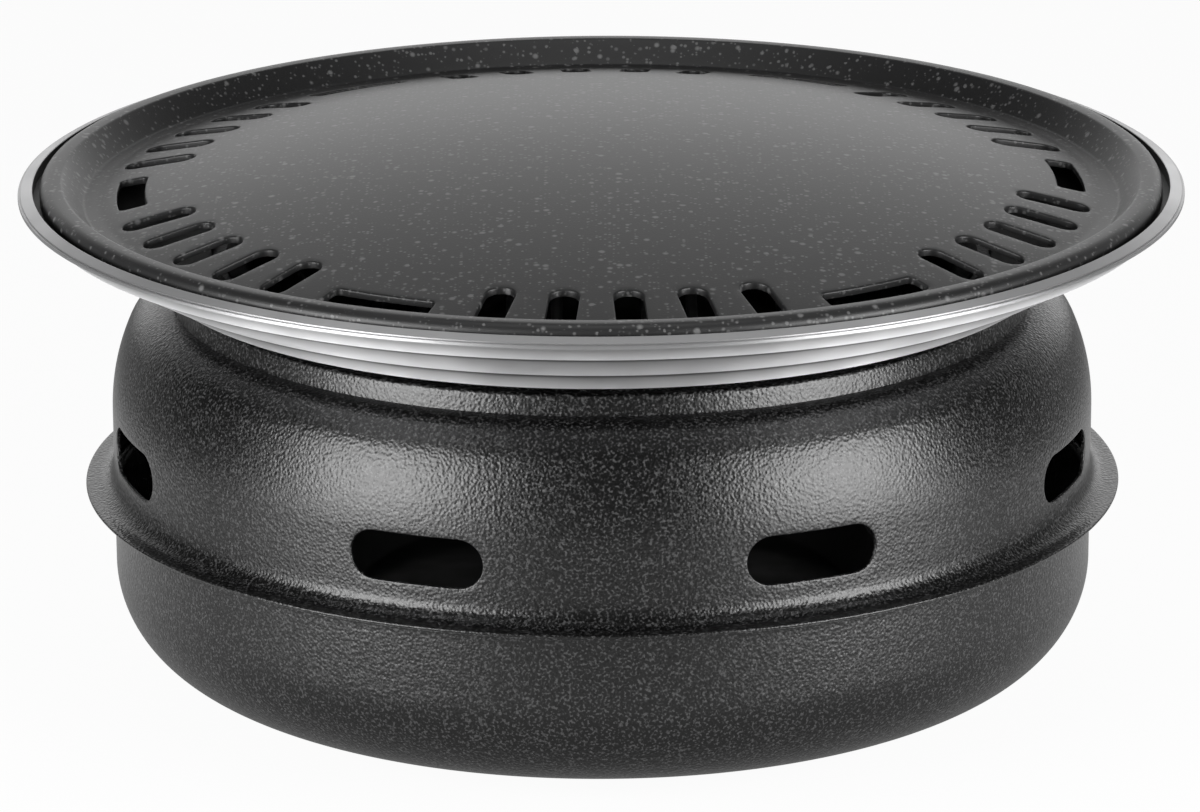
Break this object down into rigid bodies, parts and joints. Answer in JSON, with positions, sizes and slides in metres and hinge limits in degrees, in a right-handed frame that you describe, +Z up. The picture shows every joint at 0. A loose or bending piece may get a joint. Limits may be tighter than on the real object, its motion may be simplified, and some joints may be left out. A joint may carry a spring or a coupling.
{
  "type": "tabletop charcoal grill",
  "caption": "Round tabletop charcoal grill: black hammer-finished body with a brim and air vents, aluminium ring and domed, slotted non-stick plate, with lift-out fire bowl, grate and ash tray.",
  "frame": {"origin": "on the table under the grill's axis", "axes": "+Z up along the grill's axis; -Y towards the side that shows two vents"},
  "size_m": [0.35, 0.35, 0.1654],
  "materials": {
    "hammered_paint": "hammer-finished black enamel, glossy",
    "turned_aluminium": "turned, with fine rings left by the tool",
    "nonstick_plate": "cast, dark grey non-stick coat with pale stone speckles",
    "fire_enamel": "matt black heat-proof enamel on pressed sheet",
    "grate_iron": "cast bars, black from the fire",
    "shield_steel": "bright pressed sheet",
    "foot_rubber": "matt moulded",
    "zinc_fasteners": "zinc plated"
  },
  "bodies": {
    "body": {"base_bowl": "hammered_paint", "upper_shell": "hammered_paint", "heat_shield": "shield_steel", "foot_1": "foot_rubber", "foot_2": "foot_rubber", "foot_3": "foot_rubber", "foot_4": "foot_rubber", "spacer_1": "shield_steel", "spacer_2": "shield_steel", "spacer_3": "shield_steel", "spacer_4": "shield_steel", "foot_screws": "zinc_fasteners", "foot_washers": "zinc_fasteners", "shield_washers": "zinc_fasteners", "shield_nuts": "zinc_fasteners"},
    "ash_tray": {"ash_tray": "fire_enamel"},
    "fire_bowl": {"fire_bowl": "fire_enamel"},
    "charcoal_grate": {"charcoal_grate": "grate_iron"},
    "support_ring": {"support_ring": "turned_aluminium"},
    "grill_plate": {"grill_plate": "nonstick_plate"}
  },
  "joints": [
    {"name": "ash_tray_lift", "type": "slide", "parent": "body", "child": "ash_tray", "axis": [0, 0, 1], "range_m": [0, 0.12]},
    {"name": "fire_bowl_lift", "type": "slide", "parent": "ash_tray", "child": "fire_bowl", "axis": [0, 0, 1], "range_m": [0, 0.08]},
    {"name": "charcoal_grate_lift", "type": "slide", "parent": "fire_bowl", "child": "charcoal_grate", "axis": [0, 0, 1], "range_m": [0, 0.06]},
    {"name": "support_ring_lift", "type": "slide", "parent": "charcoal_grate", "child": "support_ring", "axis": [0, 0, 1], "range_m": [0, 0.05]},
    {"name": "grill_plate_lift", "type": "slide", "parent": "support_ring", "child": "grill_plate", "axis": [0, 0, 1], "range_m": [0, 0.06]}
  ]
}
